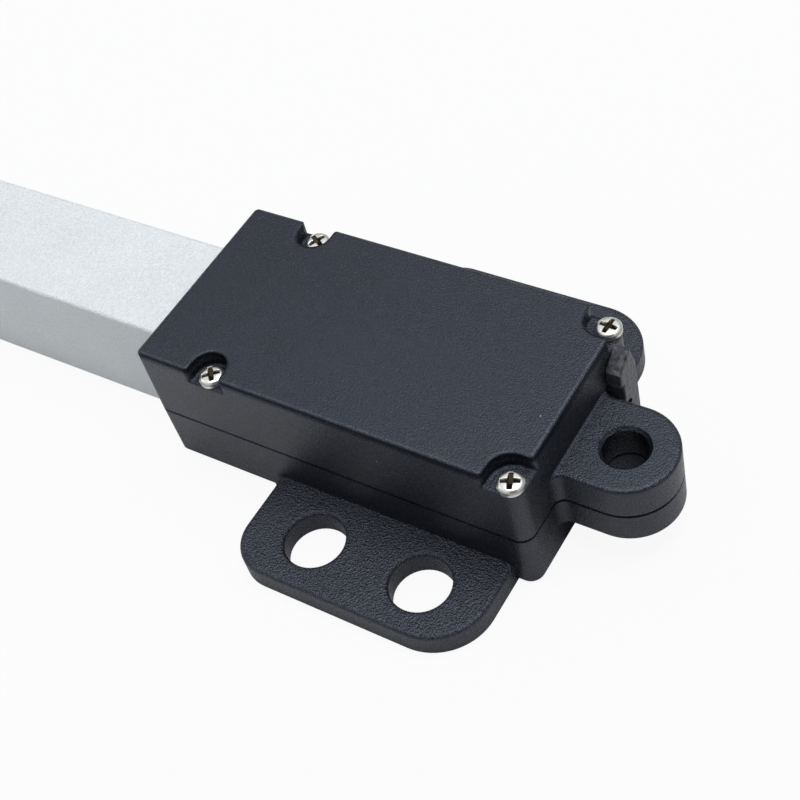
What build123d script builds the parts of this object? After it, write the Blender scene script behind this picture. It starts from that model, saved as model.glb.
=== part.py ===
from build123d import *
import math
import os

# Micro linear actuator: a two-part plastic housing with mounting feet and a rear ear, a square
# aluminium tube, and inside them a motor, a spur reduction, a lead screw and a sliding rod.
# Frame: +X towards the rod end, +Z up. The origin is on the axis of the ear's hole, in the
# plane where the two halves of the housing meet. Millimetres.

# How far a cutting shape runs past the surface it opens
over = 1.0

# Rear ear
ear_hole_radius = 2.0
ear_wall = 2.65
ear_half_height = 3.4
ear_edge_round = 0.3
ear_hole_chamfer = 0.3
ear_root_radius = 1.0

# Housing block
body_rear = 4.3
body_half_width = 10.1
body_top = 8.0
base_depth = 6.6
body_draft = 0.6
front_corner_radius = 0.6
rear_corner_radius = 1.4
top_edge_round = 0.3
bottom_edge_round = 0.6
housing_wall = 1.6
roof_thickness = 1.2
floor_thickness = 0.8
parting_groove_height = 0.12
parting_groove_depth = 0.25

# Mounting feet
foot_half_span = 19.9
foot_inset = 2.1
foot_length = 24.8
foot_thickness = 2.4
foot_corner_radius = 5.5
foot_front_corner_radius = 4.0
foot_root_radius = 1.2
foot_root_inset = 0.1
foot_edge_round = 0.35
foot_hole_radius = 2.85
foot_hole_inset = 6.65
foot_hole_spacing_x = 11.2
foot_hole_spacing_y = 29.8
foot_hole_chamfer = 0.2

# Cover screws
screw_inset_y = 1.2
rear_screw_inset = 1.25
front_screw_inset = 7.8
screw_head_radius = 1.2
screw_head_height = 0.8
screw_head_dome = 0.25
screw_shank_radius = 0.6
screw_length = 9.0
screw_clearance = 0.1
pilot_clearance = 0.02
notch_depth = 1.7
notch_radius = 2.1
front_notch_radius = 1.8
notch_mouth_round = 0.6
boss_radius = 1.9
pocket_wall = 0.9

# Square tube
tube_side = 12.0
tube_wall = 1.0
tube_corner_radius = 0.4
tube_drop = 0.3
tube_seat_depth = 10.35
tube_gap = 2.25
tube_lock_radius = 1.0
tube_lock_height = 0.8
tube_lock_inset = 3.0
seat_clearance = 0.05

# Travel and lead screw
stroke = 50.0
lead_screw_radius = 1.95
running_clearance = 0.05
journal_radius = 1.5
screw_collar_width = 0.6

# Gearmotor
motor_width = 12.0
motor_height = 10.0
motor_length = 15.0
motor_rear_gap = 2.6
motor_cap_thickness = 0.8
motor_cap_inset = 0.6
motor_boss_radius = 2.0
motor_boss_length = 0.8
motor_shaft_radius = 0.5
terminal_width = 1.6
terminal_thickness = 0.3
terminal_length = 1.4
terminal_spacing = 6.0

# Reduction: three stages of the same wheel and pinion
gear_module = 0.2
wheel_teeth = 26
pinion_teeth = 9
gear_addendum = 0.9
gear_dedendum = 1.25
gear_backlash = 0.035
pressure_angle = 20.0
wheel_thickness = 1.2
layer_pitch = 1.8
pinion_overlap = 0.6
gear_end_gap = 0.4
rear_plate_thickness = 0.8
front_plate_thickness = 1.0
plate_corner_radius = 0.5
idler_pin_radius = 0.4
pin_clearance = 0.02
post_radius = 0.8
post_inset_y = 1.4
post_inset_z = 1.4
output_shaft_radius = 1.5
output_shaft_flat = 0.4
output_bush_radius = 2.5
output_bush_flange = 0.4

# Coupling, washer and bearing
coupling_radius = 3.0
coupling_gap = 0.7
coupling_grip = 4.6
coupling_web = 0.4
coupling_journal_grip = 3.2
grub_radius = 0.6
grub_inset = 1.6
washer_thickness = 0.5
washer_radius = 2.6
bearing_bore_radius = 2.0
bearing_outer_radius = 4.0
bearing_width = 3.0
bearing_race = 0.55
ball_radius = 0.55
ball_count = 7
ball_clearance = 0.03
bearing_block_lip = 1.0
block_clearance = 0.03
block_shoulder = 0.6

# Nut, carrier and rod
carrier_gap = 2.4
carrier_length = 6.0
carrier_clearance = 0.1
carrier_drop = 3.0
nut_radius = 2.6
nut_nose_length = 3.0
nut_nose_radius = 2.45
rod_radius = 3.0
rod_bore_radius = 2.15
fit_clearance = 0.01

# Limit switches on a board along the tube's floor
board_thickness = 0.6
board_half_width = 3.5
board_setback = 0.8
board_end_gap = 0.2
switch_offset_y = -2.7
switch_length = 3.4
switch_width = 1.6
switch_height = 1.2
lever_thickness = 0.4
lever_width = 0.8
lever_pin_radius = 0.2
lever_tail = 0.2
lever_reach = 0.8
lever_gap = 0.2
lever_slot_clearance = 0.08
switch_pivot_height = 0.55
lever_slot_length = 1.2
lever_pivot_inset = 0.5
diode_length = 2.0
diode_width = 1.2
diode_height = 0.9
diode_inset = 0.5
diode_pitch = 2.5

# Front cap, wiper and rod end
cap_insert_length = 5.0
cap_gap = 4.0
cap_flange = 2.5
cap_flange_round = 0.5
wiper_recess_radius = 4.2
wiper_width = 1.5
cap_screw_radius = 0.6
cap_screw_head_radius = 1.1
cap_screw_head_height = 0.5
cap_screw_length = 2.2
rod_end_gap = 0.5
rod_end_socket = 4.0
rod_end_collar_radius = 4.2
rod_end_collar_length = 5.0
rod_end_hole_radius = 2.0
rod_end_radius = 4.5
rod_end_thickness = 5.0
rod_end_reach = 9.5
rod_end_chamfer = 0.3
rod_end_pin_radius = 0.75

# Cable grommet in the rear wall
grommet_side_inset = 1.85
grommet_ear_gap = 1.15
grommet_overlap = 0.4
grommet_step = 0.15
grommet_bottom = 3.2
grommet_stand = 1.4
grommet_near_top = 5.2
grommet_peak_inset = 0.75
grommet_peak = 6.7
grommet_shoulder = 4.1
grommet_neck_width = 1.5
grommet_neck_height = 3.0
grommet_neck_inset = 1.95
grommet_hole_radius = 0.55
grommet_hole_drop = 0.6
grommet_edge_round = 0.2

# Places that follow from the sizes above
ear_radius = ear_hole_radius + ear_wall
axis_z = -tube_drop
half_tube = tube_side / 2
half_bore = half_tube - tube_wall
motor_rear = body_rear + housing_wall + motor_rear_gap
motor_front = motor_rear + motor_length
gear_room_rear = motor_front + rear_plate_thickness
layer_1 = gear_room_rear + gear_end_gap
layer_2 = layer_1 + layer_pitch
layer_3 = layer_2 + layer_pitch
gear_room_front = layer_3 + wheel_thickness + pinion_overlap + gear_end_gap
gearbox_front = gear_room_front + front_plate_thickness
tube_rear = gearbox_front + tube_gap
tube_lock_x = tube_rear + tube_lock_inset
body_front = tube_rear + tube_seat_depth
rear_screw_x = body_rear + rear_screw_inset
front_screw_x = body_front - front_screw_inset
screw_y = body_half_width - screw_inset_y
notch_floor = body_top - notch_depth
foot_rear = body_rear + foot_inset
foot_centre_x = foot_rear + foot_hole_inset + foot_hole_spacing_x / 2
gear_distance = gear_module * (wheel_teeth + pinion_teeth) / 2
coupling_rear = gearbox_front + coupling_gap
shaft_end = coupling_rear + coupling_grip
journal_rear = shaft_end + coupling_web
coupling_front = journal_rear + coupling_journal_grip
bearing_rear = coupling_front + washer_thickness
bearing_front = bearing_rear + bearing_width
block_rear = bearing_rear - bearing_block_lip
block_front = bearing_front + bearing_block_lip
carrier_rear = block_front + carrier_gap
carrier_front = carrier_rear + carrier_length
travel_end = carrier_front + stroke
cap_rear = travel_end + cap_gap
tube_front = cap_rear + cap_insert_length
cap_front = tube_front + cap_flange
rod_end_rear = cap_front + rod_end_gap
rod_front = rod_end_rear + rod_end_socket
rod_end_hole_x = rod_end_rear + rod_end_reach
board_top = axis_z - half_bore + board_thickness
grommet_outer_y = body_half_width - grommet_side_inset
grommet_inner_y = ear_radius + grommet_ear_gap
grommet_step_y = grommet_inner_y - grommet_overlap
grommet_peak_y = grommet_outer_y - grommet_peak_inset
grommet_neck_y = grommet_outer_y - grommet_neck_inset
idler_1_centre = (-gear_distance * math.cos(math.pi / 6), gear_distance / 2)
idler_2_centre = (-gear_distance * math.cos(math.pi / 6), -gear_distance / 2)
centre_line = (0.0, 0.0)


def block(x0, x1, y0, y1, z0, z1):
    """A box between two corners."""
    size = (x1 - x0, y1 - y0, z1 - z0)
    middle = ((x0 + x1) / 2, (y0 + y1) / 2, (z0 + z1) / 2)
    return Pos(*middle) * Box(*size)


def rectangle_between(x0, x1, y0, y1):
    """A rectangle seen from above, between two corners."""
    return Polygon((x0, y0), (x1, y0), (x1, y1), (x0, y1), align=None)


def rod_along_x(x0, x1, radius, y=0.0, z=axis_z):
    """A round bar along X."""
    return Pos((x0 + x1) / 2, y, z) * Rot(0, 90, 0) * Cylinder(radius, x1 - x0)


def rod_along_y(y0, y1, radius, x, z):
    """A round bar along Y."""
    return Pos(x, (y0 + y1) / 2, z) * Rot(90, 0, 0) * Cylinder(radius, y1 - y0)


def rod_along_z(z0, z1, radius, x, y):
    """A round bar along Z."""
    return Pos(x, y, (z0 + z1) / 2) * Cylinder(radius, z1 - z0)


def ring_along_x(x0, x1, outer, inner, y=0.0, z=axis_z):
    """A round ring along X."""
    bore = rod_along_x(x0 - over, x1 + over, inner, y, z)
    return rod_along_x(x0, x1, outer, y, z) - bore


def cross_section(x):
    """A drawing plane at X = x whose two axes are the model's Y and Z, on the screw's axis."""
    return Plane(origin=(x, 0, axis_z), x_dir=(0, 1, 0), z_dir=(1, 0, 0))


def bar_along_x(sketch, x0, x1):
    """A profile drawn in Y and Z about the screw's axis, carried from x0 to x1."""
    return extrude(cross_section(x0) * sketch, amount=x1 - x0)


# Outlines of the housing, seen from above
def body_outline():
    """The block's rounded outline."""
    outline = rectangle_between(body_rear, body_front, -body_half_width, body_half_width)
    corners = outline.vertices().sort_by(Axis.X)
    outline = fillet(corners[:2], rear_corner_radius)
    corners = outline.vertices().sort_by(Axis.X)[-2:]
    return fillet(corners, front_corner_radius)


def ear_outline():
    """The ear, its neck and the round where the neck meets the rear wall."""
    wall_front = body_rear + housing_wall
    neck = rectangle_between(0, wall_front, -ear_radius, ear_radius)
    root = ear_radius + 2 * ear_root_radius
    outline = Circle(ear_radius) + neck + rectangle_between(body_rear, wall_front, -root, root)
    roots = outline.vertices().filter_by(
        lambda v: abs(v.X - body_rear) < 0.001 and abs(abs(v.Y) - ear_radius) < 0.001
    )
    return fillet(roots, ear_root_radius)


def foot_outline():
    """The base plate that carries both feet, blended into the block's sides at the front."""
    foot_front = foot_rear + foot_length
    plate = rectangle_between(foot_rear, foot_front, -foot_half_span, foot_half_span)
    plate = fillet(plate.vertices().sort_by(Axis.X)[:2], foot_corner_radius)
    plate = fillet(plate.vertices().sort_by(Axis.X)[-2:], foot_front_corner_radius)
    root = body_half_width - foot_root_inset
    strip_front = foot_front + 1.2 * foot_root_radius
    outline = plate + rectangle_between(foot_centre_x, strip_front, -root, root)
    roots = outline.vertices().filter_by(
        lambda v: abs(abs(v.Y) - root) < 0.001 and abs(v.X - foot_front) < 0.001
    )
    return fillet(roots, foot_root_radius)


def screw_places():
    """Centres of the four cover screws."""
    xs = (rear_screw_x, front_screw_x)
    return [(x, side * screw_y) for x in xs for side in (-1, 1)]


def notch(x, y):
    """The open pocket over one screw, with rounded mouths, down to the notch floor."""
    side = 1 if y > 0 else -1
    at_rear = x == rear_screw_x
    radius = notch_radius if at_rear else front_notch_radius
    outside = side * (body_half_width + over)
    rear = body_rear - over if at_rear else x - radius
    inner = y - side * radius
    way = Pos(x, y) * Circle(radius)
    way += rectangle_between(rear, x + radius, *sorted((y, outside)))
    if at_rear:
        way += rectangle_between(rear, x, *sorted((inner, outside)))
    rest = body_outline() - way
    mouths = rest.vertices().filter_by(
        lambda v: (
            abs(v.Y - side * body_half_width) < 0.001 and abs(abs(v.X - x) - radius) < 0.001
        )
        or (abs(v.X - body_rear) < 0.001 and abs(v.Y - inner) < 0.001)
    )
    rest = fillet(mouths, notch_mouth_round)
    reach = radius + 1.5 * notch_mouth_round
    window = rectangle_between(x - reach, x + reach, *sorted((y - side * reach, outside)))
    return extrude(Pos(0, 0, notch_floor) * (window - rest), amount=notch_depth + over)


def ear_half(upward):
    """One half of the ear, from the parting plane up or down, with its outer edge rounded."""
    direction = (0, 0, 1) if upward else (0, 0, -1)
    half = extrude(ear_outline(), amount=ear_half_height, dir=direction)
    face = half.faces().sort_by(Axis.Z)[-1 if upward else 0]
    rim = face.edges().filter_by(lambda e: e.center().X < body_rear - ear_root_radius)
    return fillet(rim, ear_edge_round)


def ear_hole():
    """The hole through the ear with a chamfer at both mouths."""
    hole = rod_along_z(-ear_half_height - over, ear_half_height + over, ear_hole_radius, 0, 0)
    for side in (-1, 1):
        mouth = Cone(
            ear_hole_radius, ear_hole_radius + 2 * ear_hole_chamfer, 2 * ear_hole_chamfer
        )
        hole += Pos(0, 0, side * ear_half_height) * Rot(0 if side > 0 else 180, 0, 0) * mouth
    return hole


def gearmotor_room(clearance):
    """The space that the motor, its end cap and the gearbox plates take in their cradles."""
    can = motor_section(clearance)
    plate = Rectangle(motor_width + 2 * clearance, motor_height + 2 * clearance)
    room = bar_along_x(can, motor_rear - motor_cap_thickness, motor_front)
    return room + bar_along_x(plate, motor_front, gearbox_front + clearance)


def cradle_stations():
    """X of the middle of each rib that holds the gearmotor."""
    first = motor_rear + motor_length / 4
    second = motor_rear + motor_length * 3 / 4
    third = gear_room_front - housing_wall
    return (first, second, third)


def cavity(z0, z1):
    """The hollow of the housing between two heights, behind the tube's seat."""
    side = body_half_width - housing_wall
    return block(body_rear + housing_wall, tube_rear, -side, side, z0, z1)


def tube_seat(z0, z1):
    """The square way for the tube through the front of the housing."""
    side = half_tube + seat_clearance
    low = max(z0, axis_z - side) if z0 > -base_depth else z0 - over
    rear = tube_rear - seat_clearance
    return block(rear, body_front + over, -side, side, low, min(z1, axis_z + side))


def cradle_ribs(z0, z1):
    """Ribs across the hollow that hold the gearmotor, cut to its outline."""
    side = body_half_width - housing_wall
    half = housing_wall / 2
    ribs = [block(x - half, x + half, -side, side, z0, z1) for x in cradle_stations()]
    return Part() + ribs - gearmotor_room(seat_clearance)


def screw_bosses(z0, z1, radius):
    """Round bosses at the two rear screws."""
    places = [p for p in screw_places() if p[0] == rear_screw_x]
    return Part() + [rod_along_z(z0, z1, radius, x, y) for x, y in places]


def grommet_neck(clearance):
    """The part of the grommet that passes through the rear wall."""
    half = grommet_neck_width / 2 + clearance
    height = grommet_neck_height / 2 + clearance
    front = body_rear + housing_wall + grommet_edge_round
    return block(
        body_rear - over, front, -grommet_neck_y - half, -grommet_neck_y + half, -height, height
    )


def upper_shell():
    """The cover: flat top, four open screw pockets and the upper half of the ear."""
    shell = extrude(body_outline(), amount=body_top, taper=body_draft)
    shell = fillet(shell.faces().sort_by(Axis.Z)[-1].edges(), top_edge_round)
    shell += ear_half(True)
    roof = body_top - roof_thickness
    skirt_floor = notch_floor - roof_thickness
    hollow = cavity(-1, roof) - screw_bosses(0, roof, boss_radius)
    hollow -= screw_bosses(skirt_floor, roof, notch_radius + pocket_wall)
    shell -= hollow
    shell -= tube_seat(-1, body_top)
    shell += cradle_ribs(0, roof) & cavity(0, roof)
    seat_top = axis_z + half_tube + seat_clearance
    lock_tip = axis_z + half_tube - tube_lock_height
    shell += rod_along_z(lock_tip, seat_top + roof_thickness / 2, tube_lock_radius, tube_lock_x, 0)
    for x, y in screw_places():
        shell -= notch(x, y)
        shell -= rod_along_z(-1, body_top, screw_shank_radius + screw_clearance, x, y)
    shell -= ear_hole()
    return shell - grommet_neck(0.0)


def lower_shell():
    """The base: lower half of the ear, mounting feet, cradle ribs and tube seat."""
    down = (0, 0, -1)
    shell = extrude(body_outline(), amount=base_depth, dir=down, taper=body_draft)
    shell = fillet(shell.faces().sort_by(Axis.Z)[0].edges(), bottom_edge_round)
    shell += ear_half(False)
    shell += foot_plate()
    floor = -base_depth + floor_thickness
    shell -= cavity(floor, 1) - screw_bosses(floor, 1, boss_radius)
    shell -= tube_seat(-base_depth, 1)
    shell += cradle_ribs(floor, 0) & cavity(floor, 0)
    pilot_bottom = notch_floor - screw_length - screw_clearance
    for x, y in screw_places():
        shell -= rod_along_z(pilot_bottom, 1, screw_shank_radius + pilot_clearance, x, y)
    shell -= ear_hole()
    shell -= parting_groove()
    return shell - grommet_neck(0.0)


def foot_plate():
    """Both feet, with their four holes and a small round along the upper edge."""
    plate = extrude(Pos(0, 0, -base_depth) * foot_outline(), amount=foot_thickness)
    upper = plate.faces().sort_by(Axis.Z)[-1]
    rim = upper.edges().filter_by(
        lambda e: abs(e.center().Y) > body_half_width + foot_root_radius
    )
    plate = fillet(rim, foot_edge_round)
    low = -base_depth
    high = low + foot_thickness
    for dx in (-foot_hole_spacing_x / 2, foot_hole_spacing_x / 2):
        for dy in (-foot_hole_spacing_y / 2, foot_hole_spacing_y / 2):
            x = foot_centre_x + dx
            plate -= rod_along_z(low - over, high + over, foot_hole_radius, x, dy)
            mouth = Cone(
                foot_hole_radius, foot_hole_radius + 2 * foot_hole_chamfer, 2 * foot_hole_chamfer
            )
            plate -= Pos(x, dy, high) * mouth
    return plate


def parting_groove():
    """A thin shadow groove round the outside, at the top of the lower shell."""
    outline = body_outline() + ear_outline()
    inner = offset(outline, -parting_groove_depth)
    ring = extrude(outline, amount=2 * parting_groove_height)
    ring -= extrude(inner, amount=2 * parting_groove_height)
    return Pos(0, 0, -parting_groove_height) * ring


def cover_screws():
    """Four pan-head self-tapping screws, as separate solids."""
    screws = []
    for x, y in screw_places():
        top = notch_floor + screw_head_height
        head = rod_along_z(notch_floor, top, screw_head_radius, x, y)
        head = fillet(head.edges().sort_by(Axis.Z)[-1], screw_head_dome)
        shank = rod_along_z(notch_floor - screw_length, notch_floor, screw_shank_radius, x, y)
        screws.append(head + shank)
    return Compound(children=screws)


# Tube and front end
def outer_tube():
    """Square aluminium tube, open at both ends, with holes for the cover's pip and the screws."""
    outside = RectangleRounded(tube_side, tube_side, tube_corner_radius)
    tube = bar_along_x(outside - Rectangle(2 * half_bore, 2 * half_bore), tube_rear, tube_front)
    lock_hole = tube_lock_radius + running_clearance
    tube -= rod_along_z(axis_z, axis_z + tube_side, lock_hole, tube_lock_x, 0)
    x = cap_rear + cap_insert_length / 2
    hole = rod_along_y(-tube_side, tube_side, cap_screw_radius + running_clearance, x, axis_z)
    return tube - hole


def front_cap():
    """Square plug with a flange that closes the tube and guides the rod."""
    side = 2 * (half_bore - block_clearance)
    plug = bar_along_x(Rectangle(side, side), cap_rear, tube_front)
    face = RectangleRounded(tube_side, tube_side, tube_corner_radius)
    flange = bar_along_x(face, tube_front, cap_front)
    flange = fillet(flange.faces().sort_by(Axis.X)[-1].edges(), cap_flange_round)
    cap = plug + flange
    cap -= rod_along_x(cap_rear - over, cap_front + over, rod_radius + running_clearance)
    cap -= rod_along_x(cap_front - wiper_width, cap_front + over, wiper_recess_radius)
    x = cap_rear + cap_insert_length / 2
    inner = half_tube - cap_screw_length
    for side in (-1, 1):
        y0, y1 = sorted((side * (inner - running_clearance), side * half_tube))
        cap -= rod_along_y(y0, y1, cap_screw_radius + fit_clearance, x, axis_z)
    return cap


def rod_wiper():
    """Rubber ring in the cap's recess."""
    outer = wiper_recess_radius - fit_clearance
    inner = rod_radius + running_clearance
    ring = ring_along_x(cap_front - wiper_width, cap_front, outer, inner)
    edge = ring.faces().sort_by(Axis.X)[-1].edges().sort_by(SortBy.RADIUS)[0]
    return chamfer(edge, wiper_width / 4)


def cap_screws():
    """Two small screws that hold the cap in the tube, one on each side."""
    x = cap_rear + cap_insert_length / 2
    screws = []
    for side in (-1, 1):
        y0, y1 = sorted((side * (half_tube - cap_screw_length), side * half_tube))
        shank = rod_along_y(y0, y1, cap_screw_radius, x, axis_z)
        head_top = half_tube + cap_screw_head_height
        y0, y1 = sorted((side * half_tube, side * head_top))
        head = rod_along_y(y0, y1, cap_screw_head_radius, x, axis_z)
        rim = head.edges().sort_by(Axis.Y)[-1 if side > 0 else 0]
        head = fillet(rim, cap_screw_head_height / 2)
        screws.append(head + shank)
    return Compound(children=screws)


# Motor
def motor_section(clearance=0.0):
    """Round section with a flat top and bottom."""
    flats = Rectangle(motor_width + 4 * clearance, motor_height + 2 * clearance)
    return Circle(motor_width / 2 + clearance) & flats


def motor_can():
    """Steel can with its front boss, and a bore for the shaft."""
    can = bar_along_x(motor_section(), motor_rear, motor_front)
    can += rod_along_x(motor_front, motor_front + motor_boss_length, motor_boss_radius)
    bore = motor_shaft_radius + running_clearance
    return can - rod_along_x(motor_rear - over, motor_front + motor_boss_length + over, bore)


def motor_end_cap():
    """Plastic end cap that carries the terminals."""
    side = motor_width - 2 * motor_cap_inset
    height = motor_height - 2 * motor_cap_inset
    section = Circle(side / 2) & Rectangle(side, height)
    rear = motor_rear - motor_cap_thickness
    cap = bar_along_x(section, rear, motor_rear)
    cap -= rod_along_x(rear - over, motor_rear + over, motor_shaft_radius + running_clearance)
    return cap - terminal_blades(fit_clearance)


def terminal_blades(clearance):
    """Two blades through the end cap, side by side."""
    rear = motor_rear - motor_cap_thickness - terminal_length
    half_t = terminal_thickness / 2 + clearance
    half_w = terminal_width / 2 + clearance
    blades = []
    for side in (-1, 1):
        y = side * terminal_spacing / 2
        blades.append(
            block(rear, motor_rear, y - half_t, y + half_t, axis_z - half_w, axis_z + half_w)
        )
    return Compound(children=blades)


def motor_shaft():
    """Steel shaft that turns in the can and carries the pinion."""
    rear = motor_rear - motor_cap_thickness
    return rod_along_x(rear, layer_1 + wheel_thickness + pinion_overlap / 2, motor_shaft_radius)


# Gears
def involute(angle):
    """The involute function of an angle in radians."""
    return math.tan(angle) - angle


def gear_section(teeth, bore_radius, facing):
    """Gear outline with involute flanks and one tooth centred on the direction `facing`."""
    pitch_radius = gear_module * teeth / 2
    base_radius = pitch_radius * math.cos(math.radians(pressure_angle))
    radii = (
        pitch_radius - gear_dedendum * gear_module,
        pitch_radius,
        pitch_radius + gear_addendum * gear_module,
    )
    at_pitch = math.pi / (2 * teeth) - gear_backlash / (4 * pitch_radius)
    at_pitch += involute(math.radians(pressure_angle))

    def half_angle(radius):
        inside = min(1.0, base_radius / radius)
        return at_pitch - involute(math.acos(inside))

    def point(radius, angle):
        return (radius * math.cos(angle), radius * math.sin(angle))

    edges = []
    for tooth in range(teeth):
        middle = facing + 2 * math.pi * tooth / teeth
        following = middle + 2 * math.pi / teeth
        left = [point(r, middle - half_angle(r)) for r in radii]
        right = [point(r, middle + half_angle(r)) for r in reversed(radii)]
        edges.append(ThreePointArc(*left))
        edges.append(Line(left[-1], right[0]))
        edges.append(ThreePointArc(*right))
        edges.append(Line(right[-1], point(radii[0], following - half_angle(radii[0]))))
    section = make_face(edges)
    return section - Circle(bore_radius)


def tooth_towards(centre, target):
    """Direction from one gear's centre to another's, for a tooth that points there."""
    return math.atan2(target[1] - centre[1], target[0] - centre[0])


def gap_towards(centre, target):
    """Direction of a wheel's tooth when one of its gaps points at the other gear."""
    return tooth_towards(centre, target) + math.pi / wheel_teeth


def gear(teeth, centre, facing, bore_radius, x0, x1):
    """One row of teeth about a centre, from x0 to x1."""
    section = Pos(*centre) * gear_section(teeth, bore_radius, facing)
    return bar_along_x(section, x0, x1)


def motor_pinion():
    """First pinion, pressed on the motor's shaft."""
    facing = tooth_towards(centre_line, idler_1_centre)
    bore = motor_shaft_radius + fit_clearance
    front = layer_1 + wheel_thickness + pinion_overlap / 2
    return gear(pinion_teeth, centre_line, facing, bore, layer_1 - gear_end_gap / 2, front)


def compound_gear(centre, driver, driven, layer, next_layer):
    """A wheel and a pinion in one piece, free on their pin."""
    bore = idler_pin_radius + pin_clearance
    wheel_front = layer + wheel_thickness
    wheel = gear(wheel_teeth, centre, gap_towards(centre, driver), bore, layer, wheel_front)
    pinion_front = next_layer + wheel_thickness + pinion_overlap / 2
    facing = tooth_towards(centre, driven)
    return wheel + gear(pinion_teeth, centre, facing, bore, wheel_front, pinion_front)


def idler_gear_1():
    """First idler: its wheel meets the motor pinion, its pinion the second idler."""
    return compound_gear(idler_1_centre, centre_line, idler_2_centre, layer_1, layer_2)


def idler_gear_2():
    """Second idler: its wheel meets the first idler, its pinion the output wheel."""
    return compound_gear(idler_2_centre, idler_1_centre, centre_line, layer_2, layer_3)


def output_gear():
    """Last wheel, fixed on the output shaft."""
    facing = gap_towards(centre_line, idler_2_centre)
    bore = output_shaft_radius + fit_clearance
    return gear(wheel_teeth, centre_line, facing, bore, layer_3, layer_3 + wheel_thickness)


def output_shaft():
    """Shaft from the last wheel to the coupling, with a flat for the grub screws."""
    shaft = rod_along_x(layer_3, shaft_end, output_shaft_radius)
    cut = axis_z + output_shaft_radius - output_shaft_flat
    reach = output_shaft_radius
    return shaft - block(coupling_rear, shaft_end + over, -reach, reach, cut, cut + reach)


# Gearbox frame
def post_places():
    """Centres, in Y and Z, of the two posts between the plates."""
    y = motor_width / 2 - post_inset_y
    z = motor_height / 2 - post_inset_z
    return [(y, z), (y, -z)]


def gearbox_plate(x0, x1, hole_radius):
    """A plate with holes for the centre, the idler pins and the posts."""
    section = RectangleRounded(motor_width, motor_height, plate_corner_radius)
    section -= Circle(hole_radius)
    for y, z in (idler_1_centre, idler_2_centre):
        section -= Pos(y, z) * Circle(idler_pin_radius + fit_clearance)
    for y, z in post_places():
        section -= Pos(y, z) * Circle(post_radius * 0.75 + fit_clearance)
    return bar_along_x(section, x0, x1)


def gearbox_rear_plate():
    """Plate against the motor."""
    return gearbox_plate(motor_front, gear_room_rear, motor_boss_radius + fit_clearance)


def gearbox_front_plate():
    """Plate that carries the output bush."""
    return gearbox_plate(gear_room_front, gearbox_front, output_bush_radius + fit_clearance)


def gearbox_posts():
    """Two shouldered posts that hold the plates apart."""
    posts = []
    for y, z in post_places():
        post = rod_along_x(gear_room_rear, gear_room_front, post_radius, y, axis_z + z)
        spigot = rod_along_x(motor_front, gearbox_front, post_radius * 0.75, y, axis_z + z)
        posts.append(post + spigot)
    return Compound(children=posts)


def idler_pins():
    """Two steel pins that the idlers turn on."""
    pins = []
    for y, z in (idler_1_centre, idler_2_centre):
        pins.append(rod_along_x(motor_front, gearbox_front, idler_pin_radius, y, axis_z + z))
    return Compound(children=pins)


def output_bush():
    """Flanged bronze bush for the output shaft."""
    bore = output_shaft_radius + running_clearance
    rear = gear_room_front - output_bush_flange / 2
    bush = ring_along_x(rear, gearbox_front + output_bush_flange, output_bush_radius, bore)
    flange_radius = output_bush_radius + output_bush_flange
    front = gearbox_front + output_bush_flange
    return bush + ring_along_x(gearbox_front, front, flange_radius, bore)


# Coupling and bearing
def grub_places():
    """X of the two grub screws."""
    return (coupling_rear + grub_inset, coupling_front - grub_inset)


def shaft_coupling():
    """Sleeve that joins the output shaft to the lead screw."""
    sleeve = rod_along_x(coupling_rear, coupling_front, coupling_radius)
    sleeve -= rod_along_x(coupling_rear - over, shaft_end, output_shaft_radius + fit_clearance)
    sleeve -= rod_along_x(journal_rear, coupling_front + over, journal_radius + fit_clearance)
    top = axis_z + coupling_radius + 1
    for x in grub_places():
        sleeve -= rod_along_z(axis_z, top, grub_radius + fit_clearance, x, 0)
    return sleeve


def grub_screws():
    """Two grub screws, one on each shaft."""
    top = axis_z + coupling_radius - grub_radius / 2
    flat_top = axis_z + output_shaft_radius - output_shaft_flat
    bottoms = (flat_top, axis_z + journal_radius)
    screws = []
    for x, bottom in zip(grub_places(), bottoms):
        screws.append(rod_along_z(bottom + fit_clearance, top, grub_radius, x, 0))
    return Compound(children=screws)


def thrust_washer():
    """Washer between the coupling and the bearing's inner ring."""
    return ring_along_x(
        coupling_front, bearing_rear, washer_radius, journal_radius + fit_clearance
    )


def ball_circle_radius():
    """Radius of the circle that the ball centres lie on."""
    return (bearing_bore_radius + bearing_outer_radius) / 2


def ball_groove():
    """The ring-shaped way that the balls run in."""
    middle = (bearing_rear + bearing_front) / 2
    ring = Torus(ball_circle_radius(), ball_radius + ball_clearance)
    return Pos(middle, 0, axis_z) * Rot(0, 90, 0) * ring


def bearing_inner_ring():
    """Inner ring, with its ball groove."""
    outer = bearing_bore_radius + bearing_race
    bore = bearing_bore_radius + fit_clearance
    return ring_along_x(bearing_rear, bearing_front, outer, bore) - ball_groove()


def bearing_outer_ring():
    """Outer ring, with its ball groove."""
    inner = bearing_outer_radius - bearing_race
    return ring_along_x(bearing_rear, bearing_front, bearing_outer_radius, inner) - ball_groove()


def bearing_balls():
    """The balls, evenly spread."""
    middle = (bearing_rear + bearing_front) / 2
    balls = []
    for k in range(ball_count):
        turn = 2 * math.pi * k / ball_count
        y = ball_circle_radius() * math.cos(turn)
        z = axis_z + ball_circle_radius() * math.sin(turn)
        balls.append(Pos(middle, y, z) * Sphere(ball_radius))
    return Compound(children=balls)


def bearing_block():
    """Square plug in the tube that holds the bearing, clear of the board below it."""
    side = half_bore - block_clearance
    low = board_top + block_clearance
    plug = block(block_rear, block_front, -side, side, low, axis_z + side)
    plug -= rod_along_x(bearing_rear, block_front + over, bearing_outer_radius + fit_clearance)
    return plug - rod_along_x(block_rear - over, bearing_rear, bearing_outer_radius - block_shoulder)


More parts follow.
